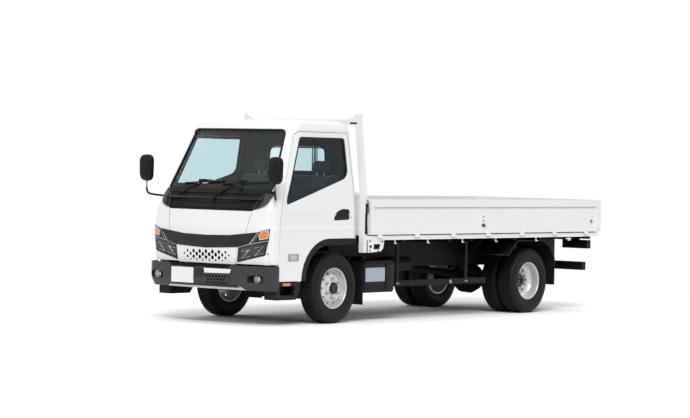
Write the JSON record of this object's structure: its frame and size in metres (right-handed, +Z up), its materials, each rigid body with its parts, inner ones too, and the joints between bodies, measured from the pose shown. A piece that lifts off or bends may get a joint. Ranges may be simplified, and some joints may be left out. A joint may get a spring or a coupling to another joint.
{
  "type": "light flatbed truck",
  "caption": "Light cab-over flatbed truck with drop side gates, a slatted headboard behind the tilting cab, steered front wheels and twin rear wheels.",
  "frame": {"origin": "centre of the overall length and width, on the ground", "axes": "-Y is the front, +X the truck's left side, +Z up"},
  "size_m": [1.8862, 5.705, 2.1],
  "materials": {
    "body_paint": "glossy white paint on steel sheet",
    "glass": "lightly tinted glass",
    "black_plastic": "grained black plastic",
    "grey_plastic": "grained dark grey plastic",
    "lamp": "clear lamp cover",
    "red_lamp": "red lamp cover",
    "cloth": "dark woven seat cloth",
    "black_steel": "black chassis paint",
    "engine_metal": "dull cast iron",
    "silver_steel": "silver paint on pressed steel",
    "tyre": "black road tyre",
    "timber": "oiled deck boards",
    "flap_rubber": "black rubber sheet"
  },
  "bodies": {
    "chassis": {"chassis_frame": "black_steel", "engine": "engine_metal", "driveshaft": "black_steel", "front_axle": "black_steel", "rear_axle": "black_steel", "bumper": "grey_plastic", "step_left": "black_plastic", "step_right": "black_plastic", "fuel_tank": "black_steel", "battery_box": "black_plastic", "muffler": "black_steel", "air_tank": "black_steel", "side_guard_left": "black_steel", "side_guard_right": "black_steel", "deck_floor": "timber", "deck_frame": "black_steel", "deck_rim": "body_paint", "headboard": "body_paint", "rear_fender_left": "black_plastic", "rear_fender_right": "black_plastic", "front_mud_flap_left": "flap_rubber", "front_mud_flap_right": "flap_rubber", "rear_lamp_left": "red_lamp", "rear_lamp_right": "red_lamp"},
    "cab": {"cab_shell": "body_paint", "windshield": "glass", "rear_window": "glass", "cowl_panel": "black_plastic", "grille_band": "black_plastic", "front_fascia": "body_paint", "headlamp_left": "lamp", "headlamp_right": "lamp", "arch_flare_left": "black_plastic", "arch_flare_right": "black_plastic", "mirror_left": "black_plastic", "mirror_right": "black_plastic", "dashboard": "grey_plastic", "seats": "cloth"},
    "steering_wheel": {"steering_wheel": "black_plastic"},
    "door_left": {"door_left": "body_paint", "door_glass_left": "glass"},
    "door_right": {"door_right": "body_paint", "door_glass_right": "glass"},
    "knuckle_left": {"knuckle_left": "black_steel"},
    "knuckle_right": {"knuckle_right": "black_steel"},
    "front_wheel_left": {"front_wheel_left": "silver_steel", "front_tyre_left": "tyre"},
    "front_wheel_right": {"front_wheel_right": "silver_steel", "front_tyre_right": "tyre"},
    "rear_wheels_left": {"rear_wheel_left": "silver_steel", "rear_outer_tyre_left": "tyre", "rear_inner_tyre_left": "tyre"},
    "rear_wheels_right": {"rear_wheel_right": "silver_steel", "rear_outer_tyre_right": "tyre", "rear_inner_tyre_right": "tyre"},
    "side_gate_left": {"side_gate_left": "body_paint"},
    "side_gate_right": {"side_gate_right": "body_paint"},
    "tail_gate": {"tail_gate": "body_paint"}
  },
  "joints": [
    {"name": "cab_tilt", "type": "hinge", "parent": "chassis", "child": "cab", "pos_m": [0, -2.6875, 0.615], "axis": [1, 0, 0], "range_deg": [0, 45]},
    {"name": "door_left_hinge", "type": "hinge", "parent": "cab", "child": "door_left", "pos_m": [0.803, -2.6175, 0.7], "axis": [0, 0, -1], "range_deg": [0, 65]},
    {"name": "door_right_hinge", "type": "hinge", "parent": "cab", "child": "door_right", "pos_m": [-0.803, -2.6175, 0.7], "axis": [0, 0, 1], "range_deg": [0, 65]},
    {"name": "steering_wheel_turn", "type": "hinge", "parent": "cab", "child": "steering_wheel", "pos_m": [-0.38, -2.2175, 1.3], "axis": [0, 0.5, 0.866], "range_deg": [-540, 540]},
    {"name": "steer_left", "type": "hinge", "parent": "chassis", "child": "knuckle_left", "pos_m": [0.59, -1.7475, 0.352], "axis": [0, 0, 1], "range_deg": [-35, 35]},
    {"name": "steer_right", "type": "hinge", "parent": "chassis", "child": "knuckle_right", "pos_m": [-0.59, -1.7475, 0.352], "axis": [0, 0, 1], "range_deg": [-35, 35]},
    {"name": "front_wheel_left_spin", "type": "hinge", "parent": "knuckle_left", "child": "front_wheel_left", "pos_m": [0.692, -1.7475, 0.352], "axis": [1, 0, 0], "continuous": true},
    {"name": "front_wheel_right_spin", "type": "hinge", "parent": "knuckle_right", "child": "front_wheel_right", "pos_m": [-0.692, -1.7475, 0.352], "axis": [1, 0, 0], "continuous": true},
    {"name": "rear_wheels_left_spin", "type": "hinge", "parent": "chassis", "child": "rear_wheels_left", "pos_m": [0.7325, 1.5525, 0.352], "axis": [1, 0, 0], "continuous": true},
    {"name": "rear_wheels_right_spin", "type": "hinge", "parent": "chassis", "child": "rear_wheels_right", "pos_m": [-0.7325, 1.5525, 0.352], "axis": [1, 0, 0], "continuous": true},
    {"name": "side_gate_left_hinge", "type": "hinge", "parent": "chassis", "child": "side_gate_left", "pos_m": [0.905, 0.5825, 0.862], "axis": [0, 1, 0], "range_deg": [0, 175]},
    {"name": "side_gate_right_hinge", "type": "hinge", "parent": "chassis", "child": "side_gate_right", "pos_m": [-0.905, 0.5825, 0.862], "axis": [0, -1, 0], "range_deg": [0, 175]},
    {"name": "tail_gate_hinge", "type": "hinge", "parent": "chassis", "child": "tail_gate", "pos_m": [0, 2.8425, 0.862], "axis": [-1, 0, 0], "range_deg": [0, 175]}
  ],
  "couplings": [
    {"joint": "steer_right", "follows": "steer_left", "ratio": 1},
    {"joint": "steering_wheel_turn", "follows": "steer_left", "ratio": 15.429}
  ]
}
